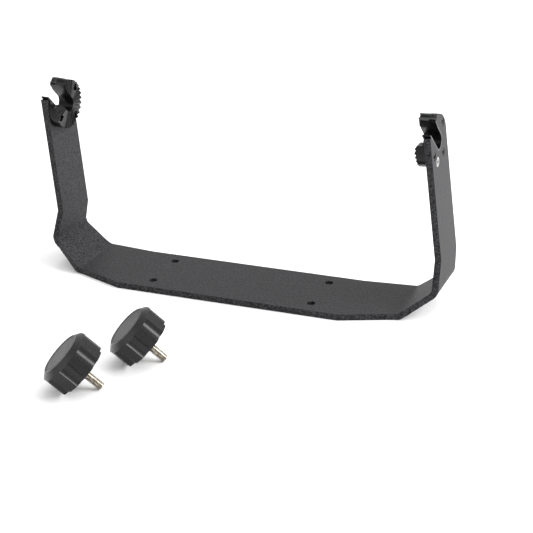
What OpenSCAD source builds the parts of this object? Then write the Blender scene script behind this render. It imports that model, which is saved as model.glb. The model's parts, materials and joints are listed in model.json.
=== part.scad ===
// Bail bracket kit for a chartplotter display: a bent flat-bar bracket with a toothed
// pivot cradle on each arm, and two loose clamping knobs.
// +Z up, +X along the bracket, -Y towards the user.
// Origin: centre of the four base holes, on the underside of the base.

/* [Bracket] */
// Width across the outer corners, before their rounding
corner_w = 320; // [300:5:360]
// Thickness of the flat bar
plate_t = 5; // [4:0.5:6]
// Width of the flat foot between its two up-bends
foot_w = 266; // [240:2:280]
// Depth of the foot in its wide middle
foot_d = 65; // [60:1:80]
// Length of the wide middle
wide_len = 181; // [170:1:200]
// Height of the outer corners above the underside
corner_rise = 19; // [16:1:24]
// Inward lean of each arm, in degrees
arm_lean = 2.8; // [0:0.2:4]
// Inside radius of the bends
bend_r = 6; // [5:0.5:8]
// Distance between the base holes along the foot
hole_spacing_x = 131; // [120:1:140]
// Distance between the base holes across the foot
hole_spacing_y = 40; // [36:1:44]
// Diameter of the base holes
hole_d = 6.5; // [5:0.5:7]

/* [Arm] */
// Height of the pivot above the outer corner, along the arm
pivot_h = 115; // [105:1:125]
// Pivot's offset to the rear of the base holes
pivot_y = 3.8; // [0:0.2:8]
// Radius of the arm's head round the pivot
head_r = 19.2; // [18:0.2:20]
// Radius of the slot in the head
slot_r = 7; // [6.5:0.1:7.5]
// Rise of the slot above the horizontal, in degrees
slot_rise = 42.5; // [35:0.5:50]
// Opening angle of the slot's rear wall
slot_flare = 9; // [5:1:12]

/* [Cradle] */
// Depth of the cradle from the arm to the tips of its teeth
cradle_depth = 8; // [7:0.5:10]
// Number of face teeth in a full circle
tooth_count = 30; // [24:2:36]
// Depth of the teeth at the rim
tooth_depth = 1.4; // [1:0.1:1.6]
// Wall of the liner in the arm's slot
liner_t = 1.2; // [1:0.1:1.5]

/* [Knob] */
// Distance across opposite flat panels of the grip
knob_af = 39.6; // [36:0.2:42]
// Height of the grip's side wall
wall_h = 15.3; // [12:0.1:17]
// Height of the chamfer in front of the wall
chamfer_h = 4.2; // [3:0.2:5]
// Diameter of the grip's flat front
front_d = 31.6; // [30:0.2:33]
// Diameter of the cap disc in the front
cap_d = 30; // [26:0.2:30]
// Diameter of the round cutter that leaves a finger flute
flute_d = 12; // [10:0.5:14]
// Diameter of the stud
stud_d = 6; // [6:1:6]
// Length of the stud behind the grip
stud_len = 17.5; // [15:0.5:20]

/* [Resting places] */
// Heading of the studs, from the bracket's length towards the rear, in degrees
knob_heading = 23.3; // [15:0.1:30]
// First knob's distance to the left of the origin
knob_1_x = -34.6; // [-60:0.1:0]
// First knob's distance from the origin towards the user
knob_1_y = -191; // [-220:0.1:-160]
// Second knob's distance to the left of the origin
knob_2_x = -12; // [-60:0.1:0]
// Second knob's distance from the origin towards the user
knob_2_y = -139; // [-150:0.1:-120]

/* [Hidden] */
$fn = 64;
far = 60;
far_x = 200;
fit_gap = 0.05;

// Bends: outer radius, turn of each bend, and the length each one takes off its corner
bend_out = bend_r + plate_t;
slant_run = (corner_w - foot_w) / 2;
slant_a = atan2(corner_rise, slant_run);
arm_turn = 90 + arm_lean - slant_a;
foot_cut = bend_out * tan(slant_a / 2);
arm_cut = bend_out * tan(arm_turn / 2);
slant_len = slant_run / cos(slant_a) - foot_cut - arm_cut;
foot_end = foot_w / 2 - foot_cut;
slant_start = foot_end + bend_out * sin(slant_a);
corner_x = corner_w / 2 - arm_cut * cos(slant_a);
bend_steps = 12;
arm_len = 160;

// The foot's outline trims the bar up to trim_top, the arm's outline from arm_trim_from upwards,
// and the two overlap inside the second bend
trim_top = 22;
arm_trim_from = 1.5;

// Front and rear edges of the bar, as distances along Y
foot_front = -17.5;
foot_rear = 36.5;
corner_front = -7.5;
corner_rear = 39.3;
knee_front = [24.7, 1.7];
knee_rear = [19.6, 43.3];
horn_front = [122.8, -17.8];

// Slot: where the flare starts, and the rounded tip of the rear horn
mouth_s = 40;
flare_s = 9;
top_a = 72;
rear_edge_a = 12;
tip_r = 3.6;
slot_dir = 180 - slot_rise;
tip_w_at_0 = slot_r - flare_s * tan(slot_flare) + tip_r / cos(slot_flare);
tip_run = cos(slot_dir - top_a) + tan(slot_flare) * cos(slot_dir - 90 - top_a);
tip_s = (head_r - tip_r - tip_w_at_0 * cos(slot_dir - 90 - top_a)) / tip_run;
tip_w = tip_w_at_0 + tip_s * tan(slot_flare);

// Cradle: depth of its tooth tips below the arm's outer face, the reach of its lip, its thin
// flange against the arm, and the level top of its toothed boss in front of the slot
tooth_z = plate_t + cradle_depth;
lip_s = 22;
flange_t = 1.2;
boss_top = 116.8;
boss_chamfer_h = 2.8;
boss_chamfer_z = 2.3;
seat_gap = 0.3;
tooth_tilt = atan(tooth_depth / head_r);
tooth_half_a = atan(0.92 * PI * head_r / tooth_count / tooth_depth);

// Screws: angle from the rear, distance from the pivot
screw_pitch_r = 14.8;
upper_a = 48;
lower_a = -50;
front_a = -148;
screw_head_r = 2.75;
screw_head_h = 3;
screw_seat = 3.4;
screw_r = 1.5;
screw_len = 7;
socket_af = 2.5;
socket_h = 1.6;
recess_r = 2.8;
recess_h = 2.5;
retainer_a = -107;
retainer_head_r = 3.75;
retainer_r = 2;
retainer_len = 10;
retainer_sink = 0.1;
cross_w = 0.9;
cross_len = 3.8;
cross_h = 1.5;

// Knob: flute centres, cap and the hexagonal head of the stud inside the grip
lobe_count = 8;
knob_turn = 15.5;
flute_r = flute_d / 2;
flute_at = 23.8;
flute_over = 0.5;
edge_chamfer = 0.8;
panel_r = knob_af / 2;
half_lobe_a = 180 / lobe_count;
corner_r = panel_r / cos(half_lobe_a);
flute_out = flute_at - corner_r;
bite = sqrt(flute_r * flute_r - pow(flute_out * cos(half_lobe_a), 2)) - flute_out * sin(half_lobe_a);
panel_half_w = panel_r * tan(half_lobe_a) - bite;
lobe_r = norm([panel_r, panel_half_w]);
grip_h = wall_h + chamfer_h;
cap_t = 2.5;
cap_sink = 0.25;
cap_bevel = 0.4;
stud_head_af = 10;
stud_head_h = 5;
stud_head_at = 4;
neck_r = 3.4;
tip_bevel = 0.8;
stud_r = stud_d / 2;

// A knob lies on a lobe's rear edge and on the tip of its stud
rear_r = panel_r - edge_chamfer;
lobe_back = edge_chamfer * (lobe_r - rear_r) / (corner_r - rear_r);
rest_r = lobe_r * cos(knob_turn - atan(panel_half_w / panel_r));
knob_tilt = atan((rest_r - stud_r + tip_bevel) / (stud_len + lobe_back));
knob_lift = rest_r * cos(knob_tilt) - lobe_back * sin(knob_tilt);

pivot = [pivot_h, pivot_y];

// A point in the arm's plane, [height, y], at an angle up from the rear about the pivot
function about_pivot(a, r) = [pivot_h + r * sin(a), pivot_y + r * cos(a)];

// A point in the arm's plane, s along the slot towards its mouth and w across it
function along_slot(s, w) = about_pivot(slot_dir, s) + [w * sin(slot_dir - 90), w * cos(slot_dir - 90)];

// Bends in the bar's section, as [x, z]: their centres, and points round them at radius r
slant_dir = [cos(slant_a), sin(slant_a)];
first_centre = [foot_end, bend_out];
second_centre = first_centre + slant_len * slant_dir;
arm_dir = [-sin(arm_lean), cos(arm_lean)];

function turned(centre, r, from, to) = [
    for (i = [0 : bend_steps])
        let (a = from + (to - from) * i / bend_steps)
            centre + r * [sin(a), -cos(a)]
];

// One face of the bar from the first bend to the top of the arm, at radius r round the bends
function face_line(r) = concat(
    turned(first_centre, r, 0, slant_a),
    turned(second_centre, r, slant_a, 90 + arm_lean),
    [second_centre + r * [cos(arm_lean), sin(arm_lean)] + arm_len * arm_dir]
);

function reversed(line) = [for (i = [len(line) - 1 : -1 : 0]) line[i]];

function mirrored(line) = [for (p = line) [-p.x, p.y]];

module mirrored_pair() {
    children();
    mirror([1, 0, 0]) children();
}

// Frame of the right arm's outer face: +X up along it, +Z to the bracket's inside
module at_arm() {
    translate([corner_w / 2, 0, corner_rise])
        rotate([0, -90 - arm_lean, 0])
            children();
}

module at_screw(a, r) {
    at_arm()
        translate([about_pivot(a, r).x, about_pivot(a, r).y, 0])
            children();
}

// The bent bar, as wide as its widest place
module bent_bar() {
    right_side = concat(face_line(bend_out), reversed(face_line(bend_r)));
    rotate([90, 0, 0])
        translate([0, 0, -far])
            linear_extrude(2 * far)
                polygon(concat(right_side, mirrored(reversed(right_side))));
}

// Outline of the foot and of the slants, seen from above
module foot_outline() {
    polygon([
        [-far_x, corner_front],
        [-corner_x, corner_front],
        [-slant_start, foot_front],
        [-foot_end, foot_front],
        [-wide_len / 2, -foot_d / 2],
        [wide_len / 2, -foot_d / 2],
        [foot_end, foot_front],
        [slant_start, foot_front],
        [corner_x, corner_front],
        [far_x, corner_front],
        [far_x, corner_rear],
        [corner_x, corner_rear],
        [slant_start, foot_rear],
        [foot_end, foot_rear],
        [wide_len / 2, foot_d / 2],
        [-wide_len / 2, foot_d / 2],
        [-foot_end, foot_rear],
        [-slant_start, foot_rear],
        [-corner_x, corner_rear],
        [-far_x, corner_rear]
    ]);
}

module foot_trim() {
    translate([0, 0, -1])
        linear_extrude(trim_top + 1)
            difference() {
                square([2 * far_x - 1, 4 * far], center = true);
                foot_outline();
            }
}

// What is cut from the bar round the outline of an arm
module arm_trim() {
    at_arm()
        translate([0, 0, -1])
            linear_extrude(bend_out + 1)
                difference() {
                    translate([arm_trim_from, -2 * far]) square([2 * arm_len, 4 * far]);
                    arm_outline();
                }
}

module base_holes() {
    for (x = [-1, 1])
        for (y = [-1, 1])
            translate([x * hole_spacing_x / 2, y * hole_spacing_y / 2, -1])
                cylinder(h = plate_t + 2, d = hole_d);
}

module slot_outline(r, length) {
    flare_w = r + (length - flare_s) * tan(slot_flare);
    translate(pivot) circle(r = r);
    polygon([
        along_slot(0, -r),
        along_slot(length, -r),
        along_slot(length, flare_w),
        along_slot(flare_s, r),
        along_slot(0, r)
    ]);
}

// The head and its rear horn, shared by the arm and its cradle
module head_outline(r) {
    translate(pivot) circle(r = r);
    horn_tip = along_slot(tip_s, tip_w);
    inset = head_r - r;
    tip = tip_r - inset;
    translate(horn_tip) circle(r = tip);
    polygon([
        pivot,
        about_pivot(top_a, r),
        horn_tip + [tip * sin(top_a), tip * cos(top_a)],
        horn_tip + [tip * sin(top_a + 90), tip * cos(top_a + 90)]
    ]);
}

module arm_outline() {
    difference() {
        union() {
            head_outline(head_r);
            polygon([
                [0, corner_front],
                [arm_cut, corner_front],
                knee_front,
                horn_front,
                [horn_front.x, pivot_y - slot_r],
                about_pivot(90 - slot_rise, slot_r),
                about_pivot(rear_edge_a, head_r - 0.3),
                knee_rear,
                [arm_cut, corner_rear],
                [0, corner_rear]
            ]);
        }
        slot_outline(slot_r, mouth_s);
    }
}

module screw_holes() {
    for (a = [upper_a, lower_a, front_a])
        at_screw(a, screw_pitch_r) {
            translate([0, 0, -1]) cylinder(h = screw_seat + 1, r = screw_head_r + seat_gap);
            cylinder(h = plate_t + 1, r = screw_r + fit_gap);
        }
    at_screw(retainer_a, screw_pitch_r) retainer_space();
}

module bracket() {
    color("#3a3a3c")
        difference() {
            bent_bar();
            foot_trim();
            mirrored_pair() {
                arm_trim();
                screw_holes();
            }
            base_holes();
        }
}

// One V groove of the face teeth: deepest at the rim and running out at the pivot
module tooth_groove() {
    reach = 2 * head_r;
    opening = 3 * tooth_depth;
    rotate([0, tooth_tilt, 0])
        rotate([90, 0, 90])
            linear_extrude(reach)
                polygon([
                    [0, 0],
                    [opening * tan(tooth_half_a), opening],
                    [-opening * tan(tooth_half_a), opening]
                ]);
}

module cradle_body() {
    cradle_r = head_r - 0.2;
    difference() {
        at_arm() {
            translate([0, 0, plate_t]) linear_extrude(cradle_depth) head_outline(cradle_r);
            linear_extrude(plate_t) liner_outline();
            translate([0, 0, plate_t]) linear_extrude(flange_t) lip_outline();
        }
        at_arm() translate([0, 0, plate_t + flange_t]) linear_extrude(cradle_depth) above_boss();
        boss_chamfer();
        at_arm() {
            translate([0, 0, -1]) linear_extrude(tooth_z + 2) slot_outline(slot_r - liner_t, mouth_s);
            translate([pivot_h, pivot_y, tooth_z])
                for (i = [0 : tooth_count - 1])
                    rotate([0, 0, i * 360 / tooth_count]) tooth_groove();
        }
        for (a = [upper_a, lower_a, front_a])
            at_screw(a, screw_pitch_r) {
                cylinder(h = tooth_z, r = screw_r + fit_gap);
                translate([0, 0, tooth_z - recess_h]) cylinder(h = recess_h + 1, r = recess_r);
            }
        at_screw(retainer_a, screw_pitch_r) cylinder(h = retainer_len + fit_gap, r = retainer_r + fit_gap);
    }
}

// Space over the boss, up to the middle of the slot
module above_boss() {
    middle = along_slot((boss_top - pivot_h) / sin(slot_dir), 0);
    polygon([
        [boss_top, -far],
        middle,
        along_slot(mouth_s, 0),
        [along_slot(mouth_s, 0).x, -far]
    ]);
}

// Chamfer along the boss's toothed top edge
module boss_chamfer() {
    at_arm()
        translate([0, pivot_y - slot_r, 0])
            rotate([90, 0, 0])
                linear_extrude(far)
                    polygon([
                        [boss_top - boss_chamfer_h, tooth_z],
                        [boss_top, tooth_z - boss_chamfer_z],
                        [boss_top + 1, tooth_z - boss_chamfer_z],
                        [boss_top + 1, tooth_z + 1],
                        [boss_top - boss_chamfer_h, tooth_z + 1]
                    ]);
}

// The part of the slot's liner that lies inside the arm's own slot
module liner_outline() {
    difference() {
        intersection() {
            slot_outline(slot_r - fit_gap, mouth_s);
            liner_reach();
        }
        slot_outline(slot_r - liner_t, mouth_s);
    }
}

module lip_outline() {
    difference() {
        polygon([
            along_slot(0, -slot_r),
            along_slot(lip_s, -slot_r),
            along_slot(lip_s, 0),
            along_slot(0, 0)
        ]);
        slot_outline(slot_r - liner_t, mouth_s);
    }
}

// Area round the slot that the liner may fill: up to the lip in front, and the horn behind
module liner_reach() {
    translate(pivot) circle(r = head_r - 1);
    polygon([
        along_slot(0, -far),
        along_slot(lip_s, -far),
        along_slot(lip_s, 0),
        along_slot(0, 0)
    ]);
    polygon([
        along_slot(0, 0),
        along_slot(tip_s, 0),
        along_slot(tip_s, far),
        along_slot(0, far)
    ]);
}

module retainer_space() {
    head_cone = retainer_head_r - retainer_r;
    rotate_extrude()
        polygon([
            [0, -1],
            [retainer_head_r + fit_gap, -1],
            [retainer_head_r + fit_gap, retainer_sink],
            [retainer_r + fit_gap, retainer_sink + head_cone],
            [retainer_r + fit_gap, far],
            [0, far]
        ]);
}

// Socket-head screw, sunk in the arm, its end in the cradle
module cap_screw(a) {
    at_screw(a, screw_pitch_r)
        difference() {
            union() {
                translate([0, 0, screw_seat - screw_head_h]) cylinder(h = screw_head_h, r = screw_head_r);
                cylinder(h = screw_seat + screw_len, r = screw_r);
            }
            translate([0, 0, -1]) cylinder(h = 1 + screw_seat - screw_head_h + socket_h, d = socket_af / cos(30), $fn = 6);
        }
}

// Countersunk screw with a cross recess, flush with the arm's outer face
module retaining_screw() {
    head_cone = retainer_head_r - retainer_r;
    at_screw(retainer_a, screw_pitch_r)
        difference() {
            rotate_extrude()
                polygon([
                    [0, retainer_sink],
                    [retainer_head_r, retainer_sink],
                    [retainer_r, retainer_sink + head_cone],
                    [retainer_r, retainer_len],
                    [0, retainer_len]
                ]);
            for (a = [0, 90])
                rotate([0, 0, a])
                    translate([-cross_len / 2, -cross_w / 2, -1])
                        cube([cross_len, cross_w, 1 + retainer_sink + cross_h]);
        }
}

// Frame of a knob: origin at the centre of the grip's rear face, +Z along its stud
module at_knob(x, y) {
    translate([x, y, knob_lift])
        rotate([0, 0, knob_heading])
            rotate([0, 90 + knob_tilt, 0])
                rotate([0, 0, knob_turn])
                    children();
}

module flute() {
    translate([flute_at, 0, -wall_h - flute_over]) cylinder(h = grip_h, r = flute_r);
}

module grip() {
    difference() {
        intersection() {
            rotate([0, 0, half_lobe_a])
                translate([0, 0, -grip_h])
                    linear_extrude(grip_h) circle(r = corner_r, $fn = lobe_count);
            rotate_extrude()
                polygon([
                    [0, -grip_h],
                    [front_d / 2, -grip_h],
                    [corner_r, -wall_h],
                    [corner_r, -edge_chamfer],
                    [rear_r, 0],
                    [0, 0]
                ]);
        }
        for (i = [0 : lobe_count - 1])
            rotate([0, 0, (i + 0.5) * 360 / lobe_count]) flute();
        translate([0, 0, -grip_h - 1]) cylinder(h = 1 + cap_sink + cap_t, d = cap_d + 2 * fit_gap);
        translate([0, 0, -stud_head_at]) cylinder(h = far, r = neck_r + fit_gap);
        translate([0, 0, -stud_head_at - stud_head_h])
            cylinder(h = stud_head_h, d = (stud_head_af + 2 * fit_gap) / cos(30), $fn = 6);
    }
}

module cap() {
    translate([0, 0, -grip_h + cap_sink])
        rotate_extrude()
            polygon([
                [0, 0],
                [cap_d / 2 - cap_bevel, 0],
                [cap_d / 2, cap_bevel],
                [cap_d / 2, cap_t],
                [0, cap_t]
            ]);
}

module stud() {
    translate([0, 0, -stud_head_at - stud_head_h])
        cylinder(h = stud_head_h, d = stud_head_af / cos(30), $fn = 6);
    translate([0, 0, -stud_head_at])
        cylinder(h = stud_head_at, r = neck_r);
    cylinder(h = stud_len - tip_bevel, r = stud_r);
    translate([0, 0, stud_len - tip_bevel])
        cylinder(h = tip_bevel, r1 = stud_r, r2 = stud_r - tip_bevel);
}

module left_cradle() { color("#1c1c1e") mirror([1, 0, 0]) cradle_body(); }
module right_cradle() { color("#1c1c1e") cradle_body(); }
module left_upper_screw() { color("#101012") mirror([1, 0, 0]) cap_screw(upper_a); }
module left_lower_screw() { color("#101012") mirror([1, 0, 0]) cap_screw(lower_a); }
module left_front_screw() { color("#101012") mirror([1, 0, 0]) cap_screw(front_a); }
module right_upper_screw() { color("#101012") cap_screw(upper_a); }
module right_lower_screw() { color("#101012") cap_screw(lower_a); }
module right_front_screw() { color("#101012") cap_screw(front_a); }
module left_retaining_screw() { color("silver") mirror([1, 0, 0]) retaining_screw(); }
module right_retaining_screw() { color("silver") retaining_screw(); }
module knob_1_grip() { color("#2c2c2f") at_knob(knob_1_x, knob_1_y) grip(); }
module knob_1_cap() { color("#3c3c40") at_knob(knob_1_x, knob_1_y) cap(); }
module knob_1_stud() { color("silver") at_knob(knob_1_x, knob_1_y) stud(); }
module knob_2_grip() { color("#2c2c2f") at_knob(knob_2_x, knob_2_y) grip(); }
module knob_2_cap() { color("#3c3c40") at_knob(knob_2_x, knob_2_y) cap(); }
module knob_2_stud() { color("silver") at_knob(knob_2_x, knob_2_y) stud(); }

bracket();
left_cradle();
right_cradle();
left_upper_screw();
left_lower_screw();
left_front_screw();
right_upper_screw();
right_lower_screw();
right_front_screw();
left_retaining_screw();
right_retaining_screw();
knob_1_grip();
knob_1_cap();
knob_1_stud();
knob_2_grip();
knob_2_cap();
knob_2_stud();
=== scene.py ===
"""Looks of a bail bracket kit: a bent flat bar with two toothed cradles, and two loose clamping knobs.

Lengths are in metres and angles in degrees unless a name says otherwise. Each sub-assembly is a class that
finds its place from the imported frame, models its pieces with Blender's operators and dresses them.
"""

import json
import logging
import math
from collections.abc import Callable, Sequence
from dataclasses import dataclass, field
from enum import Enum
from typing import Any

import bpy
from mathutils import Matrix, Vector

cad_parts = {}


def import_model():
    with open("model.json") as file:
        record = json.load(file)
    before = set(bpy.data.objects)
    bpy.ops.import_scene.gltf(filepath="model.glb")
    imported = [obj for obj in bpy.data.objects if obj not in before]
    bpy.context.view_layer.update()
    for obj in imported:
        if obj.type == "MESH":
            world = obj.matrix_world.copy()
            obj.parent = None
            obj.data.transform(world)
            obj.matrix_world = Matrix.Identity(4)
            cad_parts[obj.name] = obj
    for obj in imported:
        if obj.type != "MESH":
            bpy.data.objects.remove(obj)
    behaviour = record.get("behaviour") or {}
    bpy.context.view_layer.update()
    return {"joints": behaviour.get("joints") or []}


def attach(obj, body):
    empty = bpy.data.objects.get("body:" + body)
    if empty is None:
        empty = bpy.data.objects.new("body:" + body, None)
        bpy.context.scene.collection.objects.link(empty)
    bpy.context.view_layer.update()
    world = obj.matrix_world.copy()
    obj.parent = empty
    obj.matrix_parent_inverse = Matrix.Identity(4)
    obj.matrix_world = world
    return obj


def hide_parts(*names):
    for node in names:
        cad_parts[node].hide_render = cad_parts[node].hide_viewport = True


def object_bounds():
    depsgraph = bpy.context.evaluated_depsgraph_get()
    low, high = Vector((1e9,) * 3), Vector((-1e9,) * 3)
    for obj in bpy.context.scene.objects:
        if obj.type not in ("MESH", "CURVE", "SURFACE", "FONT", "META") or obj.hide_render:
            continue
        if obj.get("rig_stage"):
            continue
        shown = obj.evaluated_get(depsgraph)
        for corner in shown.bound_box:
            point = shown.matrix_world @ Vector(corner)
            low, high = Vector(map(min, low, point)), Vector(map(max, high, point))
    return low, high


LOG = logging.getLogger("bail_bracket")
MM = 0.001
Colour = tuple[float, float, float, float]


class Side(Enum):
    """The two ends of the bracket, by the prefix of their nodes."""

    LEFT = "left"
    RIGHT = "right"


class Cut(Enum):
    """How one solid works on another."""

    REMOVE = "DIFFERENCE"
    KEEP = "INTERSECT"
    ADD = "UNION"


# ---------------------------------------------------------------------------------------------------------
# Bench: operators as a maker uses them
# ---------------------------------------------------------------------------------------------------------


class Bench:
    """Modelling steps that every piece shares."""

    @staticmethod
    def take(obj: bpy.types.Object) -> bpy.types.Object:
        """Leaves edit mode, selects one object alone, makes it active and returns it."""
        if bpy.context.mode != "OBJECT":
            bpy.ops.object.mode_set(mode="OBJECT")
        bpy.ops.object.select_all(action="DESELECT")
        obj.select_set(True)
        bpy.context.view_layer.objects.active = obj
        return obj

    @staticmethod
    def pick_faces(obj: bpy.types.Object, wanted: Callable[[bpy.types.MeshPolygon], bool]) -> None:
        """Selects the faces that pass a test and leaves the object in edit mode.

        Args:
            obj: The object, in either mode.
            wanted: Says of each face whether it is selected.
        """
        Bench.take(obj)
        bpy.ops.object.mode_set(mode="EDIT")
        bpy.ops.mesh.select_mode(type="FACE")
        bpy.ops.mesh.select_all(action="DESELECT")
        bpy.ops.object.mode_set(mode="OBJECT")
        for face in obj.data.polygons:
            face.select = wanted(face)
        bpy.ops.object.mode_set(mode="EDIT")

    @staticmethod
    def close(obj: bpy.types.Object) -> None:
        """Merges doubles, turns every face outwards and leaves edit mode."""
        Bench.take(obj)
        bpy.ops.object.mode_set(mode="EDIT")
        bpy.ops.mesh.select_all(action="SELECT")
        bpy.ops.mesh.remove_doubles(threshold=0.001 * MM)
        bpy.ops.mesh.normals_make_consistent(inside=False)
        bpy.ops.object.mode_set(mode="OBJECT")

    @staticmethod
    def cylinder(
        name: str, radius: float, low: float, high: float, sides: int, turn: float = 0.0
    ) -> bpy.types.Object:
        """Adds an upright cylinder on the Z axis.

        Args:
            name: Name of the object.
            radius: Radius to its corners.
            low: Height of its lower face.
            high: Height of its upper face.
            sides: Number of sides.
            turn: Turn about Z, in degrees.

        Returns:
            The new object, with its place in its mesh.
        """
        bpy.ops.object.select_all(action="DESELECT")
        bpy.ops.mesh.primitive_cylinder_add(
            vertices=sides,
            radius=radius,
            depth=high - low,
            location=(0.0, 0.0, (high + low) / 2),
            rotation=(0.0, 0.0, math.radians(turn)),
        )
        obj = bpy.context.active_object
        obj.name = name
        bpy.ops.object.transform_apply(location=True, rotation=True, scale=True)
        return obj

    @staticmethod
    def work(obj: bpy.types.Object, tool: bpy.types.Object, cut: Cut) -> None:
        """Cuts, keeps or adds one closed solid with another, and removes the tool.

        Args:
            obj: The solid that is changed.
            tool: The solid that works on it.
            cut: What is done.
        """
        Bench.take(obj)
        modifier = obj.modifiers.new("cut", "BOOLEAN")
        modifier.operation = cut.value
        modifier.solver = "EXACT"
        modifier.object = tool
        bpy.ops.object.modifier_apply(modifier=modifier.name)
        bpy.data.objects.remove(tool)

    @staticmethod
    def soften(obj: bpy.types.Object, width: float, segments: int, angle: float) -> None:
        """Rounds every edge that turns by more than an angle.

        Args:
            obj: The object.
            width: Width of the rounding.
            segments: Number of its segments.
            angle: Least angle between two faces, in degrees.
        """
        Bench.take(obj)
        modifier = obj.modifiers.new("soften", "BEVEL")
        modifier.width = width
        modifier.segments = segments
        modifier.limit_method = "ANGLE"
        modifier.angle_limit = math.radians(angle)
        modifier.miter_outer = "MITER_ARC"
        bpy.ops.object.modifier_apply(modifier=modifier.name)

    @staticmethod
    def shade(obj: bpy.types.Object, angle: float = 32.0) -> None:
        """Shades faces smooth up to an angle, with the large flat ones kept flat."""
        Bench.take(obj)
        bpy.ops.object.shade_smooth_by_angle(angle=math.radians(angle))
        modifier = obj.modifiers.new("weights", "WEIGHTED_NORMAL")
        modifier.keep_sharp = True
        bpy.ops.object.modifier_apply(modifier=modifier.name)

    @staticmethod
    def copy(obj: bpy.types.Object, name: str) -> bpy.types.Object:
        """Copies an object with a mesh of its own.

        Args:
            obj: The object to copy.
            name: Name of the copy.

        Returns:
            The copy, without a parent.
        """
        Bench.take(obj)
        bpy.ops.object.duplicate(linked=False)
        twin = bpy.context.active_object
        twin.name = name
        twin.data.name = name
        twin.parent = None
        twin.matrix_world = Matrix.Identity(4)
        for key in [key for key in twin.keys() if key.startswith("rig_")]:
            del twin[key]
        return twin

    @staticmethod
    def clean_copy(node: str, name: str, flat: float = 0.4) -> bpy.types.Object:
        """Copies a frame node and joins its loose triangles into whole faces.

        Args:
            node: Name of the node.
            name: Name of the copy.
            flat: Faces that turn by less than this many degrees become one.

        Returns:
            The copy, ready to be softened.
        """
        obj = Bench.copy(bpy.data.objects[node], name)
        bpy.ops.object.mode_set(mode="EDIT")
        bpy.ops.mesh.select_all(action="SELECT")
        bpy.ops.mesh.remove_doubles(threshold=0.004 * MM)
        bpy.ops.mesh.dissolve_limited(angle_limit=math.radians(flat), use_dissolve_boundaries=False)
        bpy.ops.object.mode_set(mode="OBJECT")
        return obj

    @staticmethod
    def place(obj: bpy.types.Object, where: Matrix) -> None:
        """Moves an object's mesh to its place and leaves the object at the origin."""
        Bench.take(obj)
        obj.matrix_world = where @ obj.matrix_world
        bpy.ops.object.transform_apply(location=True, rotation=True, scale=True)

    @staticmethod
    def stand_for(obj: bpy.types.Object, node: str, body: str, slot: str) -> None:
        """Lets a finished piece stand for a frame node.

        Args:
            obj: The finished piece.
            node: The node that it replaces.
            body: The body that it rides on.
            slot: Not used.
        """
        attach(obj, body)
        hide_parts(node)
        LOG.info("%s stands for %s, %d faces", obj.name, node, len(obj.data.polygons))


# ---------------------------------------------------------------------------------------------------------
# Shader groups and finishes
# ---------------------------------------------------------------------------------------------------------


class Graph:
    """A small helper round one node tree."""

    def __init__(self, tree: bpy.types.NodeTree) -> None:
        """Keeps the tree that nodes are added to."""
        self.tree = tree

    def add(self, kind: str, **settings: Any) -> bpy.types.Node:
        """Adds a node.

        Args:
            kind: The node's type name.
            settings: Properties to set on it.

        Returns:
            The new node.
        """
        node = self.tree.nodes.new(kind)
        for key, value in settings.items():
            setattr(node, key, value)
        return node

    def join(self, source: bpy.types.NodeSocket, target: bpy.types.NodeSocket) -> None:
        """Links one socket to another."""
        self.tree.links.new(source, target)


class ShaderGroup:
    """A shader node group that several finishes place with values of their own."""

    name = ""

    def __init__(self) -> None:
        """Builds the group once, or finds it if it is there."""
        found = bpy.data.node_groups.get(self.name)
        if found is None:
            found = bpy.data.node_groups.new(self.name, "ShaderNodeTree")
            self.build(found)
        self.tree = found

    def build(self, tree: bpy.types.NodeTree) -> None:
        """Adds the group's sockets and nodes."""
        raise NotImplementedError

    def put(self, graph: Graph, **values: Any) -> bpy.types.Node:
        """Places the group in a finish.

        Args:
            graph: The material's graph.
            values: Values of the group's inputs, by name with _ for a space.

        Returns:
            The group node.
        """
        node = graph.add("ShaderNodeGroup", node_tree=self.tree)
        for key, value in values.items():
            node.inputs[key.replace("_", " ")].default_value = value
        return node

    @staticmethod
    def socket(tree: bpy.types.NodeTree, name: str, kind: str, out: bool = False, value: Any = None) -> None:
        """Adds one named socket to a group.

        Args:
            tree: The group's tree.
            name: The socket's name.
            kind: Float, Color or Vector.
            out: Whether it is an output.
            value: Its default.
        """
        way = "OUTPUT" if out else "INPUT"
        item = tree.interface.new_socket(name=name, in_out=way, socket_type=f"NodeSocket{kind}")
        if value is not None:
            item.default_value = value


class Grain(ShaderGroup):
    """Height of a fine pebbled skin: rounded grains with a softer waviness under them."""

    name = "fine_grain"

    def build(self, tree: bpy.types.NodeTree) -> None:
        """Mixes grains and waviness into one height."""
        self.socket(tree, "Vector", "Vector")
        self.socket(tree, "Grain Scale", "Float", value=1500.0)
        self.socket(tree, "Wave Scale", "Float", value=120.0)
        self.socket(tree, "Wave Share", "Float", value=0.3)
        self.socket(tree, "Height", "Float", out=True)
        graph = Graph(tree)
        inlet = graph.add("NodeGroupInput")
        outlet = graph.add("NodeGroupOutput")
        pebbles = graph.add("ShaderNodeTexVoronoi", feature="SMOOTH_F1")
        waves = graph.add("ShaderNodeTexNoise")
        waves.inputs["Detail"].default_value = 3.0
        blend = graph.add("ShaderNodeMix", data_type="FLOAT")
        graph.join(inlet.outputs["Vector"], pebbles.inputs["Vector"])
        graph.join(inlet.outputs["Vector"], waves.inputs["Vector"])
        graph.join(inlet.outputs["Grain Scale"], pebbles.inputs["Scale"])
        graph.join(inlet.outputs["Wave Scale"], waves.inputs["Scale"])
        graph.join(inlet.outputs["Wave Share"], blend.inputs["Factor"])
        graph.join(pebbles.outputs["Distance"], blend.inputs["A"])
        graph.join(waves.outputs["Fac"], blend.inputs["B"])
        graph.join(blend.outputs["Result"], outlet.inputs["Height"])


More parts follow.
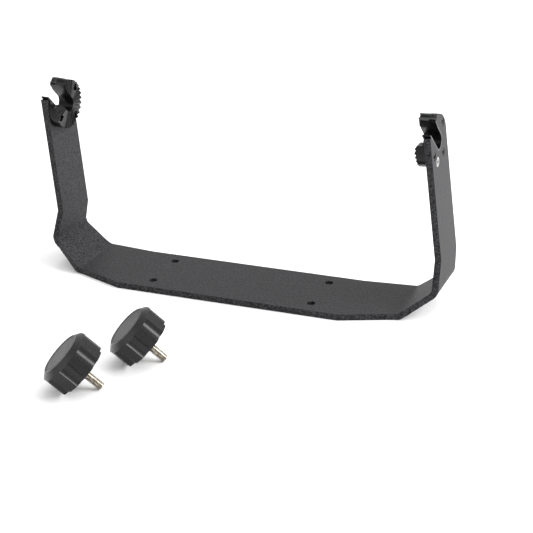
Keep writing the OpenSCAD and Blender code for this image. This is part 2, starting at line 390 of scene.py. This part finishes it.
class Mottle(ShaderGroup):
    """A colour that drifts between two tones over the surface."""

    name = "soft_mottle"

    def build(self, tree: bpy.types.NodeTree) -> None:
        """Mixes two tones by a noise at two scales."""
        self.socket(tree, "Vector", "Vector")
        self.socket(tree, "Scale", "Float", value=40.0)
        self.socket(tree, "Dark", "Color", value=(0.01, 0.01, 0.01, 1.0))
        self.socket(tree, "Light", "Color", value=(0.03, 0.03, 0.03, 1.0))
        self.socket(tree, "Color", "Color", out=True)
        self.socket(tree, "Mask", "Float", out=True)
        graph = Graph(tree)
        inlet = graph.add("NodeGroupInput")
        outlet = graph.add("NodeGroupOutput")
        noise = graph.add("ShaderNodeTexNoise")
        noise.inputs["Detail"].default_value = 6.0
        noise.inputs["Roughness"].default_value = 0.62
        spread = graph.add("ShaderNodeMapRange")
        spread.inputs["From Min"].default_value = 0.40
        spread.inputs["From Max"].default_value = 0.60
        blend = graph.add("ShaderNodeMix", data_type="RGBA")
        graph.join(inlet.outputs["Vector"], noise.inputs["Vector"])
        graph.join(inlet.outputs["Scale"], noise.inputs["Scale"])
        graph.join(noise.outputs["Fac"], spread.inputs["Value"])
        graph.join(spread.outputs["Result"], blend.inputs["Factor"])
        graph.join(inlet.outputs["Dark"], blend.inputs["A"])
        graph.join(inlet.outputs["Light"], blend.inputs["B"])
        graph.join(blend.outputs["Result"], outlet.inputs["Color"])
        graph.join(spread.outputs["Result"], outlet.inputs["Mask"])


class PaintedEdgeHighlight(ShaderGroup):
    """A painted highlight: a mask of the rounded edges, where a lighter tone is painted as if light caught
    them, broken up by noise.
    """

    name = "edge_wear"

    def build(self, tree: bpy.types.NodeTree) -> None:
        """Compares the rounded normal with the true one."""
        self.socket(tree, "Vector", "Vector")
        self.socket(tree, "Radius", "Float", value=0.6 * MM)
        self.socket(tree, "Patchiness", "Float", value=0.5)
        self.socket(tree, "Mask", "Float", out=True)
        graph = Graph(tree)
        inlet = graph.add("NodeGroupInput")
        outlet = graph.add("NodeGroupOutput")
        rounded = graph.add("ShaderNodeBevel", samples=6)
        true = graph.add("ShaderNodeNewGeometry")
        dot = graph.add("ShaderNodeVectorMath", operation="DOT_PRODUCT")
        edge = graph.add("ShaderNodeMapRange")
        edge.inputs["From Min"].default_value = 0.995
        edge.inputs["From Max"].default_value = 0.93
        noise = graph.add("ShaderNodeTexNoise")
        noise.inputs["Scale"].default_value = 300.0
        noise.inputs["Detail"].default_value = 4.0
        patches = graph.add("ShaderNodeMix", data_type="FLOAT")
        patches.inputs["A"].default_value = 1.0
        mask = graph.add("ShaderNodeMath", operation="MULTIPLY", use_clamp=True)
        graph.join(inlet.outputs["Radius"], rounded.inputs["Radius"])
        graph.join(inlet.outputs["Vector"], noise.inputs["Vector"])
        graph.join(rounded.outputs["Normal"], dot.inputs[0])
        graph.join(true.outputs["Normal"], dot.inputs[1])
        graph.join(dot.outputs["Value"], edge.inputs["Value"])
        graph.join(inlet.outputs["Patchiness"], patches.inputs["Factor"])
        graph.join(noise.outputs["Fac"], patches.inputs["B"])
        graph.join(edge.outputs["Result"], mask.inputs[0])
        graph.join(patches.outputs["Result"], mask.inputs[1])
        graph.join(mask.outputs["Value"], outlet.inputs["Mask"])


@dataclass(frozen=True)
class Finish:
    """What every finish has: a name, two tones, a gloss and a skin."""

    name: str
    dark: Colour
    light: Colour
    roughness: float
    roughness_spread: float = 0.06
    metallic: float = 0.0
    specular: float = 0.5
    mottle_scale: float = 60.0
    grain_scale: float = 1500.0
    wave_share: float = 0.3
    bump: float = 0.02 * MM
    # Share and tone of the painted edge highlight: a lighter colour on the rounded edges, as if light caught
    # them.
    edge_highlight: float = 0.0
    edge_highlight_tone: Colour = (0.08, 0.08, 0.08, 1.0)

    def material(self) -> bpy.types.Material:
        """Builds the material once, or finds it if it is there.

        Returns:
            The material.
        """
        found = bpy.data.materials.get(self.name)
        if found is not None:
            return found
        found = bpy.data.materials.new(self.name)
        found.use_nodes = True
        found.node_tree.nodes.clear()
        graph = Graph(found.node_tree)
        shader = graph.add("ShaderNodeBsdfPrincipled")
        outlet = graph.add("ShaderNodeOutputMaterial")
        graph.join(shader.outputs["BSDF"], outlet.inputs["Surface"])
        shader.inputs["Metallic"].default_value = self.metallic
        shader.inputs["Specular IOR Level"].default_value = self.specular
        place = graph.add("ShaderNodeTexCoord").outputs["Object"]
        mottle = Mottle().put(graph, Scale=self.mottle_scale, Dark=self.dark, Light=self.light)
        graph.join(place, mottle.inputs["Vector"])
        self.colour(graph, shader, place, mottle)
        self.gloss(graph, shader, mottle)
        self.skin(graph, shader, place)
        return found

    def colour(
        self, graph: Graph, shader: bpy.types.Node, place: bpy.types.NodeSocket, mottle: bpy.types.Node
    ) -> None:
        """Feeds the base colour, with a painted highlight: a lighter tone on the rounded edges.

        Args:
            graph: The material's graph.
            shader: Its Principled node.
            place: Object coordinates.
            mottle: The mottle group.
        """
        if self.edge_highlight == 0.0:
            graph.join(mottle.outputs["Color"], shader.inputs["Base Color"])
            return
        # Painted highlight: the rounded edges get the lighter tone, as if light caught them.
        edge_highlight = PaintedEdgeHighlight().put(graph, Radius=0.7 * MM, Patchiness=1.0 - self.edge_highlight)
        highlighted_base = graph.add("ShaderNodeMix", data_type="RGBA")
        highlighted_base.inputs["B"].default_value = self.edge_highlight_tone
        graph.join(place, edge_highlight.inputs["Vector"])
        graph.join(edge_highlight.outputs["Mask"], highlighted_base.inputs["Factor"])
        graph.join(mottle.outputs["Color"], highlighted_base.inputs["A"])
        graph.join(highlighted_base.outputs["Result"], shader.inputs["Base Color"])

    def gloss(self, graph: Graph, shader: bpy.types.Node, mottle: bpy.types.Node) -> None:
        """Lets the roughness drift with the mottle.

        Args:
            graph: The material's graph.
            shader: Its Principled node.
            mottle: The mottle group.
        """
        spread = graph.add("ShaderNodeMapRange")
        spread.inputs["To Min"].default_value = self.roughness - self.roughness_spread
        spread.inputs["To Max"].default_value = self.roughness + self.roughness_spread
        graph.join(mottle.outputs["Mask"], spread.inputs["Value"])
        graph.join(spread.outputs["Result"], shader.inputs["Roughness"])

    def skin(self, graph: Graph, shader: bpy.types.Node, place: bpy.types.NodeSocket) -> None:
        """Raises the fine grain as a bump.

        Args:
            graph: The material's graph.
            shader: Its Principled node.
            place: Object coordinates.
        """
        grain = Grain().put(graph, Grain_Scale=self.grain_scale, Wave_Share=self.wave_share)
        bump = graph.add("ShaderNodeBump")
        bump.inputs["Distance"].default_value = self.bump
        graph.join(place, grain.inputs["Vector"])
        graph.join(grain.outputs["Height"], bump.inputs["Height"])
        graph.join(bump.outputs["Normal"], shader.inputs["Normal"])


@dataclass(frozen=True)
class BrushedSteel(Finish):
    """Bright steel with fine turning marks round its own axis."""

    stretch: float = 0.08

    def skin(self, graph: Graph, shader: bpy.types.Node, place: bpy.types.NodeSocket) -> None:
        """Draws out the grain along X and raises it as a bump.

        Args:
            graph: The material's graph.
            shader: Its Principled node.
            place: Object coordinates.
        """
        drawn = graph.add("ShaderNodeMapping")
        drawn.inputs["Scale"].default_value = (1.0, self.stretch, self.stretch)
        graph.join(place, drawn.inputs["Vector"])
        super().skin(graph, shader, drawn.outputs["Vector"])


@dataclass(frozen=True)
class Finishes:
    # Each finish's edge values below paint a lighter tone on its rounded edges as a highlight.
    powder_coat: Finish = Finish(
        "powder_coated_steel_finish",
        dark=(0.001, 0.001, 0.0015, 1.0),
        light=(0.047, 0.047, 0.050, 1.0),
        roughness=0.50,
        roughness_spread=0.12,
        specular=0.11,
        mottle_scale=820.0,
        grain_scale=820.0,
        wave_share=0.45,
        bump=0.35 * MM,
        edge_highlight=0.35,
        edge_highlight_tone=(0.035, 0.035, 0.037, 1.0),
    )
    cradle: Finish = Finish(
        "cradle_plastic_finish",
        dark=(0.003, 0.003, 0.0035, 1.0),
        light=(0.006, 0.006, 0.0065, 1.0),
        roughness=0.22,
        specular=0.16,
        mottle_scale=90.0,
        grain_scale=700.0,
        wave_share=0.7,
        bump=0.03 * MM,
        edge_highlight=0.2,
        edge_highlight_tone=(0.02, 0.02, 0.022, 1.0),
    )
    black_screw: Finish = Finish(
        "black_screw_finish",
        dark=(0.003, 0.003, 0.004, 1.0),
        light=(0.010, 0.010, 0.011, 1.0),
        roughness=0.40,
        specular=0.35,
        mottle_scale=300.0,
        bump=0.02 * MM,
        edge_highlight=0.4,
        edge_highlight_tone=(0.04, 0.04, 0.04, 1.0),
    )
    stainless_screw: Finish = BrushedSteel(
        "stainless_screw_finish",
        dark=(0.22, 0.215, 0.21, 1.0),
        light=(0.42, 0.41, 0.40, 1.0),
        roughness=0.30,
        metallic=1.0,
        mottle_scale=500.0,
        bump=0.03 * MM,
    )
    grip: Finish = Finish(
        "grip_plastic_finish",
        dark=(0.002, 0.002, 0.0022, 1.0),
        light=(0.004, 0.004, 0.0044, 1.0),
        roughness=0.30,
        roughness_spread=0.04,
        specular=0.36,
        mottle_scale=700.0,
        grain_scale=1500.0,
        bump=0.05 * MM,
        edge_highlight=0.25,
        edge_highlight_tone=(0.022, 0.022, 0.023, 1.0),
    )
    cap: Finish = Finish(
        "cap_plastic_finish",
        dark=(0.050, 0.050, 0.051, 1.0),
        light=(0.062, 0.062, 0.064, 1.0),
        roughness=0.50,
        specular=0.30,
        mottle_scale=260.0,
        grain_scale=1500.0,
        bump=0.05 * MM,
    )
    stud: Finish = BrushedSteel(
        "stainless_stud_finish",
        dark=(0.36, 0.33, 0.29, 1.0),
        light=(0.62, 0.58, 0.52, 1.0),
        roughness=0.24,
        metallic=1.0,
        mottle_scale=420.0,
        bump=0.01 * MM,
    )


def dress(obj: bpy.types.Object, finish: Finish) -> None:
    """Gives every face of a piece one finish.

    Args:
        obj: The piece.
        finish: Its finish.
    """
    obj.data.materials.clear()
    obj.data.materials.append(finish.material())
    for face in obj.data.polygons:
        face.material_index = 0


# ---------------------------------------------------------------------------------------------------------
# Sub-assemblies
# ---------------------------------------------------------------------------------------------------------


@dataclass
class BentBar:
    """The powder-coated bar: foot, two bends a side, and the two arms with their slots."""

    finishes: Finishes
    edge_round: float = 0.7 * MM
    edge_segments: int = 3

    def build(self) -> None:
        """Finishes the bar's mesh and dresses it."""
        bar = Bench.clean_copy("bracket", "bent_bar")
        Bench.soften(bar, self.edge_round, self.edge_segments, angle=28.0)
        Bench.shade(bar)
        dress(bar, self.finishes.powder_coat)
        Bench.stand_for(bar, "bracket", "bracket", "powder_coated_steel")


@dataclass
class Cradle:
    """One moulded cradle with its teeth, its three sunk screws and its countersunk screw."""

    side: Side
    finishes: Finishes
    edge_round: float = 0.16 * MM
    screw_round: float = 0.18 * MM
    screws: Sequence[str] = ("upper", "lower", "front")

    def build(self) -> None:
        """Finishes the moulding and its screws."""
        self.moulding()
        for place in self.screws:
            self.screw(f"{place}_screw", "black_screw", self.finishes.black_screw)
        self.screw("retaining_screw", "stainless_screw", self.finishes.stainless_screw)

    def moulding(self) -> None:
        """Softens the teeth and the rims of the moulding."""
        node = f"{self.side.value}_cradle"
        piece = Bench.clean_copy(node, f"{self.side.value}_moulded_cradle")
        Bench.soften(piece, self.edge_round, 2, angle=24.0)
        Bench.shade(piece)
        dress(piece, self.finishes.cradle)
        Bench.stand_for(piece, node, "bracket", "cradle_plastic")

    def screw(self, name: str, slot: str, finish: Finish) -> None:
        """Softens one screw.

        Args:
            name: The screw's name without its side.
            slot: Not used; it is only passed on to Bench.stand_for, which ignores it.
            finish: Its finish.
        """
        node = f"{self.side.value}_{name}"
        piece = Bench.clean_copy(node, f"{self.side.value}_turned_{name}")
        Bench.soften(piece, self.screw_round, 2, angle=28.0)
        Bench.shade(piece)
        dress(piece, finish)
        Bench.stand_for(piece, node, "bracket", slot)


@dataclass
class Knob:
    """One loose knob: an eight-lobed grip, its cap and its threaded stud, modelled upright on the Z axis.

    The grip's rear face lies at height zero, its front below it, and the stud stands up from it.
    """

    number: int
    finishes: Finishes
    joints: Sequence[dict[str, Any]]
    turn: float = 15.5
    lobes: int = 8
    across_flats: float = 39.6 * MM
    wall: float = 15.3 * MM
    chamfer: float = 4.2 * MM
    rear_chamfer: float = 0.8 * MM
    front_radius: float = 15.8 * MM
    flute_radius: float = 6.0 * MM
    flute_at: float = 23.8 * MM
    flute_over: float = 0.5 * MM
    cap_radius: float = 15.0 * MM
    cap_thick: float = 2.5 * MM
    cap_sink: float = 0.25 * MM
    stud_radius: float = 3.0 * MM
    stud_length: float = 17.5 * MM
    neck_radius: float = 3.4 * MM
    tip_bevel: float = 0.8 * MM
    thread_pitch: float = 1.0 * MM
    thread_depth: float = 0.6 * MM
    rows_per_turn: int = 8
    hex_flats: float = 10.0 * MM
    hex_top: float = -4.0 * MM
    hex_height: float = 5.0 * MM
    gap: float = 0.05 * MM
    groove_inset: float = 1.3 * MM
    groove_width: float = 0.5 * MM
    groove_depth: float = 0.35 * MM
    cap_inset: float = 2.0 * MM
    cap_round: float = 0.18 * MM
    thread_steepness: float = 1.3
    thread_root_flat: float = 0.12
    edge_round: float = 0.55 * MM
    where: Matrix = field(init=False)

    def __post_init__(self) -> None:
        """Finds the knob's resting place from its joint."""
        joint = next(j for j in self.joints if j["child"] == f"knob_{self.number}")
        axis = Vector(joint["axis"]).normalized()
        heading = math.atan2(axis.y, axis.x)
        lean = math.pi / 2 - math.asin(axis.z)
        self.where = (
            Matrix.Translation(Vector(joint["pos_m"]))
            @ Matrix.Rotation(heading, 4, "Z")
            @ Matrix.Rotation(lean, 4, "Y")
            @ Matrix.Rotation(math.radians(self.turn), 4, "Z")
        )

    @property
    def height(self) -> float:
        """Height of the grip from its front to its rear face."""
        return self.wall + self.chamfer

    @property
    def hex_corner(self) -> float:
        """Radius to the corners of the stud's six-sided head."""
        return self.hex_flats / 2 / math.cos(math.pi / 6)

    @property
    def corner_radius(self) -> float:
        """Radius to the corners between two flat panels."""
        return self.across_flats / 2 / math.cos(math.pi / self.lobes)

    def build(self) -> None:
        """Models, places and dresses the three pieces."""
        pieces = (
            (self.grip(), "grip", "grip_plastic", self.finishes.grip),
            (self.cap(), "cap", "cap_plastic", self.finishes.cap),
            (self.stud(), "stud", "stainless_stud", self.finishes.stud),
        )
        for piece, name, slot, finish in pieces:
            Bench.place(piece, self.where)
            Bench.shade(piece)
            dress(piece, finish)
            Bench.stand_for(piece, f"knob_{self.number}_{name}", f"knob_{self.number}", slot)

    def turned_blank(self) -> bpy.types.Object:
        """Turns the round envelope of the grip, with a chamfer at each end.

        Returns:
            The envelope.
        """
        blank = Bench.cylinder("blank", self.corner_radius, -self.wall, -self.rear_chamfer, 128)
        ends = (
            (-1.0, -self.chamfer, self.front_radius / self.corner_radius),
            (1.0, self.rear_chamfer, (self.across_flats / 2 - self.rear_chamfer) / self.corner_radius),
        )
        for up, step, shrink in ends:
            Bench.pick_faces(blank, lambda face, up=up: face.normal.z * up > 0.9)
            bpy.ops.mesh.extrude_region_move(TRANSFORM_OT_translate={"value": (0.0, 0.0, step)})
            bpy.ops.transform.resize(value=(shrink, shrink, 1.0), center_override=(0.0, 0.0, 0.0))
            bpy.ops.object.mode_set(mode="OBJECT")
        return blank

    def flute_cutter(self) -> bpy.types.Object:
        """Makes the round cutters of the eight finger flutes, as one object.

        Returns:
            The cutter.
        """
        first = Bench.cylinder("flutes", self.flute_radius, -self.wall - self.flute_over, 1 * MM, 96)
        Bench.place(first, Matrix.Translation((self.flute_at, 0.0, 0.0)))
        step = 2 * math.pi / self.lobes
        copies = [Bench.copy(first, f"flute_{i}") for i in range(self.lobes - 1)]
        for i, twin in enumerate(copies):
            Bench.place(twin, Matrix.Rotation((i + 1.5) * step, 4, "Z"))
        Bench.place(first, Matrix.Rotation(0.5 * step, 4, "Z"))
        Bench.take(first)
        for twin in copies:
            twin.select_set(True)
        bpy.ops.object.join()
        return first

    def grip(self) -> bpy.types.Object:
        """Models the grip: an eight-sided block kept inside its turned envelope, fluted, bored and softened.

        Returns:
            The grip.
        """
        name = f"knob_{self.number}_lobed_grip"
        block = Bench.cylinder(name, self.corner_radius, -self.height, 0.0, self.lobes, turn=180 / self.lobes)
        Bench.work(block, self.turned_blank(), Cut.KEEP)
        Bench.work(block, self.flute_cutter(), Cut.REMOVE)
        floor = -self.height + self.cap_sink + self.cap_thick
        pocket = Bench.cylinder("pocket", self.cap_radius + self.gap, -self.height - 1 * MM, floor, 96)
        bore = Bench.cylinder("bore", self.neck_radius + self.gap, self.hex_top, 1 * MM, 64)
        low = self.hex_top - self.hex_height - self.gap
        nest = Bench.cylinder("nest", self.hex_corner + self.gap, low, self.hex_top + self.gap, 6)
        for tool in (pocket, bore, nest):
            Bench.work(block, tool, Cut.REMOVE)
        Bench.close(block)
        Bench.soften(block, self.edge_round, 3, angle=30.0)
        return block

    def cap(self) -> bpy.types.Object:
        """Models the cap: a disc with a bevelled rim and a fine groove inside it.

        Returns:
            The cap.
        """
        front = -self.height + self.cap_sink
        name = f"knob_{self.number}_grooved_cap"
        disc = Bench.cylinder(name, self.cap_radius, front, front + self.cap_thick, 96)
        Bench.pick_faces(disc, lambda face: face.normal.z < -0.9)
        for inset in (self.groove_inset, self.groove_width, self.cap_inset):
            bpy.ops.mesh.inset(thickness=inset)
        middle = self.cap_radius - self.groove_inset - self.groove_width / 2
        Bench.pick_faces(
            disc,
            lambda face: face.normal.z < -0.9
            and abs(face.center.xy.length - middle) < 0.4 * self.groove_width
            and len(face.vertices) == 4,
        )
        bpy.ops.mesh.extrude_region_move(TRANSFORM_OT_translate={"value": (0.0, 0.0, self.groove_depth)})
        Bench.close(disc)
        Bench.soften(disc, self.cap_round, 2, angle=40.0)
        return disc

    def thread_radius(self, height: float, angle: float) -> float:
        """Gives the stud's radius where its thread passes.

        Args:
            height: Height above the grip's rear face.
            angle: Angle round the stud, in radians.

        Returns:
            The radius, less at the root of the thread, along its run-out and at the bevelled tip.
        """
        phase = (height / self.thread_pitch - angle / (2 * math.pi)) % 1.0
        crest = min(1.0, max(0.0, self.thread_steepness * abs(2 * phase - 1) - self.thread_root_flat))
        fade = min(1.0, max(0.0, height / self.thread_pitch))
        tip = self.stud_radius - max(0.0, height - self.stud_length + self.tip_bevel)
        return min(tip, self.stud_radius - self.thread_depth * fade * (1 - crest))

    def threaded_rod(self) -> bpy.types.Object:
        """Draws a rod out row by row and winds the thread into its skin.

        Returns:
            The rod, which starts a little inside the neck.
        """
        rise = self.thread_pitch / self.rows_per_turn
        rows = round(self.stud_length / rise)
        rod = Bench.cylinder("rod", self.stud_radius, -1 * MM, 0.0, 48)
        Bench.pick_faces(rod, lambda face: face.normal.z > 0.9)
        for _ in range(rows):
            bpy.ops.mesh.extrude_region_move(TRANSFORM_OT_translate={"value": (0.0, 0.0, rise)})
        bpy.ops.object.mode_set(mode="OBJECT")
        for point in rod.data.vertices:
            if point.co.z < 0.5 * rise:
                continue
            angle = math.atan2(point.co.y, point.co.x)
            radius = self.thread_radius(point.co.z, angle)
            point.co.x, point.co.y = radius * math.cos(angle), radius * math.sin(angle)
        return rod

    def stud(self) -> bpy.types.Object:
        """Models the stud: a six-sided head and a neck inside the grip, and the threaded rod.

        Returns:
            The stud.
        """
        name = f"knob_{self.number}_threaded_stud"
        stud = Bench.cylinder(name, self.hex_corner, self.hex_top - self.hex_height, self.hex_top, 6)
        Bench.work(stud, Bench.cylinder("neck", self.neck_radius, self.hex_top - 1 * MM, 0.0, 64), Cut.ADD)
        Bench.work(stud, self.threaded_rod(), Cut.ADD)
        Bench.close(stud)
        return stud


# ---------------------------------------------------------------------------------------------------------
# Stage
# ---------------------------------------------------------------------------------------------------------


@dataclass(frozen=True)
class SoftBox:
    """A large soft light that looks at a point of the object."""

    name: str
    place: tuple[float, float, float]
    size: float
    watts: float
    aim: tuple[float, float, float] = (0.0, 0.0, 0.05)
    tint: tuple[float, float, float] = (1.0, 1.0, 1.0)

    def hang(self) -> None:
        """Adds the light and turns it to its aim."""
        lamp = bpy.data.lights.new(self.name, "AREA")
        lamp.energy = self.watts
        lamp.size = self.size
        lamp.color = self.tint
        obj = bpy.data.objects.new(self.name, lamp)
        bpy.context.scene.collection.objects.link(obj)
        obj.location = self.place
        obj.rotation_euler = (Vector(self.aim) - Vector(self.place)).to_track_quat("-Z", "Y").to_euler()


@dataclass
class Studio:
    """Floor, surroundings, lights and camera."""

    floor_size: float = 14.0
    floor_tone: Colour = (0.93, 0.93, 0.93, 1.0)
    surround: Colour = (1.0, 1.0, 1.0, 1.0)
    surround_strength: float = 1.0
    eye: tuple[float, float, float] = (0.41720, -0.95674, 0.46445)
    azimuth: float = 22.45
    elevation: float = 23.21
    roll: float = -1.37
    lens_mm: float = 99.46
    sensor_mm: float = 36.0
    lights: Sequence[SoftBox] = (
        SoftBox("key_right", (1.0, 0.1, 0.6), 0.7, 13.5),
        SoftBox("top_rear", (0.1, 0.9, 1.6), 1.4, 15.0),
        SoftBox("fill_left", (-1.4, -0.8, 1.0), 1.2, 3.0),
    )

    def build(self) -> None:
        """Sets up the whole stage."""
        self.lay_floor()
        self.light_surroundings()
        for light in self.lights:
            light.hang()
        self.set_camera()

    def lay_floor(self) -> None:
        """Lays a wide pale floor under the object."""
        low, _ = self.ground()
        bpy.ops.object.select_all(action="DESELECT")
        bpy.ops.mesh.primitive_plane_add(size=self.floor_size, location=(0.0, 0.0, low))
        floor = bpy.context.active_object
        floor.name = "pale_floor"
        material = bpy.data.materials.new("pale_floor_finish")
        material.use_nodes = True
        shader = material.node_tree.nodes["Principled BSDF"]
        shader.inputs["Base Color"].default_value = self.floor_tone
        shader.inputs["Roughness"].default_value = 0.9
        shader.inputs["Specular IOR Level"].default_value = 0.1
        floor.data.materials.append(material)
        floor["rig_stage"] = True

    @staticmethod
    def ground() -> tuple[float, float]:
        """Returns the lowest and highest heights of the frame."""
        low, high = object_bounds()
        return low[2], high[2]

    def light_surroundings(self) -> None:
        """Surrounds the stage with an even bright field."""
        world = bpy.data.worlds.new("bright_field")
        world.use_nodes = True
        field_node = world.node_tree.nodes["Background"]
        field_node.inputs["Color"].default_value = self.surround
        field_node.inputs["Strength"].default_value = self.surround_strength
        bpy.context.scene.world = world

    def set_camera(self) -> None:
        """Places the camera by its azimuth, elevation and roll."""
        azimuth, elevation, roll = (math.radians(a) for a in (self.azimuth, self.elevation, self.roll))
        ahead = Vector(
            (
                -math.sin(azimuth) * math.cos(elevation),
                math.cos(azimuth) * math.cos(elevation),
                -math.sin(elevation),
            )
        )
        level = Vector((math.cos(azimuth), math.sin(azimuth), 0.0))
        upright = level.cross(ahead)
        right = math.cos(roll) * level + math.sin(roll) * upright
        top = -math.sin(roll) * level + math.cos(roll) * upright
        lens = bpy.data.cameras.new("viewpoint")
        lens.lens = self.lens_mm
        lens.sensor_width = self.sensor_mm
        lens.clip_start = 0.01
        camera = bpy.data.objects.new("viewpoint", lens)
        bpy.context.scene.collection.objects.link(camera)
        turn = Matrix((right, top, -ahead)).transposed().to_4x4()
        camera.matrix_world = Matrix.Translation(Vector(self.eye)) @ turn
        bpy.context.scene.camera = camera


def main() -> None:
    logging.basicConfig(level=logging.INFO, format="%(name)s: %(message)s")
    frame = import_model()
    bpy.context.scene.view_settings.view_transform = "Standard"
    finishes = Finishes()
    Studio().build()
    BentBar(finishes).build()
    for side in Side:
        Cradle(side, finishes).build()
    for number in (1, 2):
        Knob(number, finishes, frame["joints"]).build()
    LOG.info("all pieces are built")


if __name__ == "__main__":
    main()
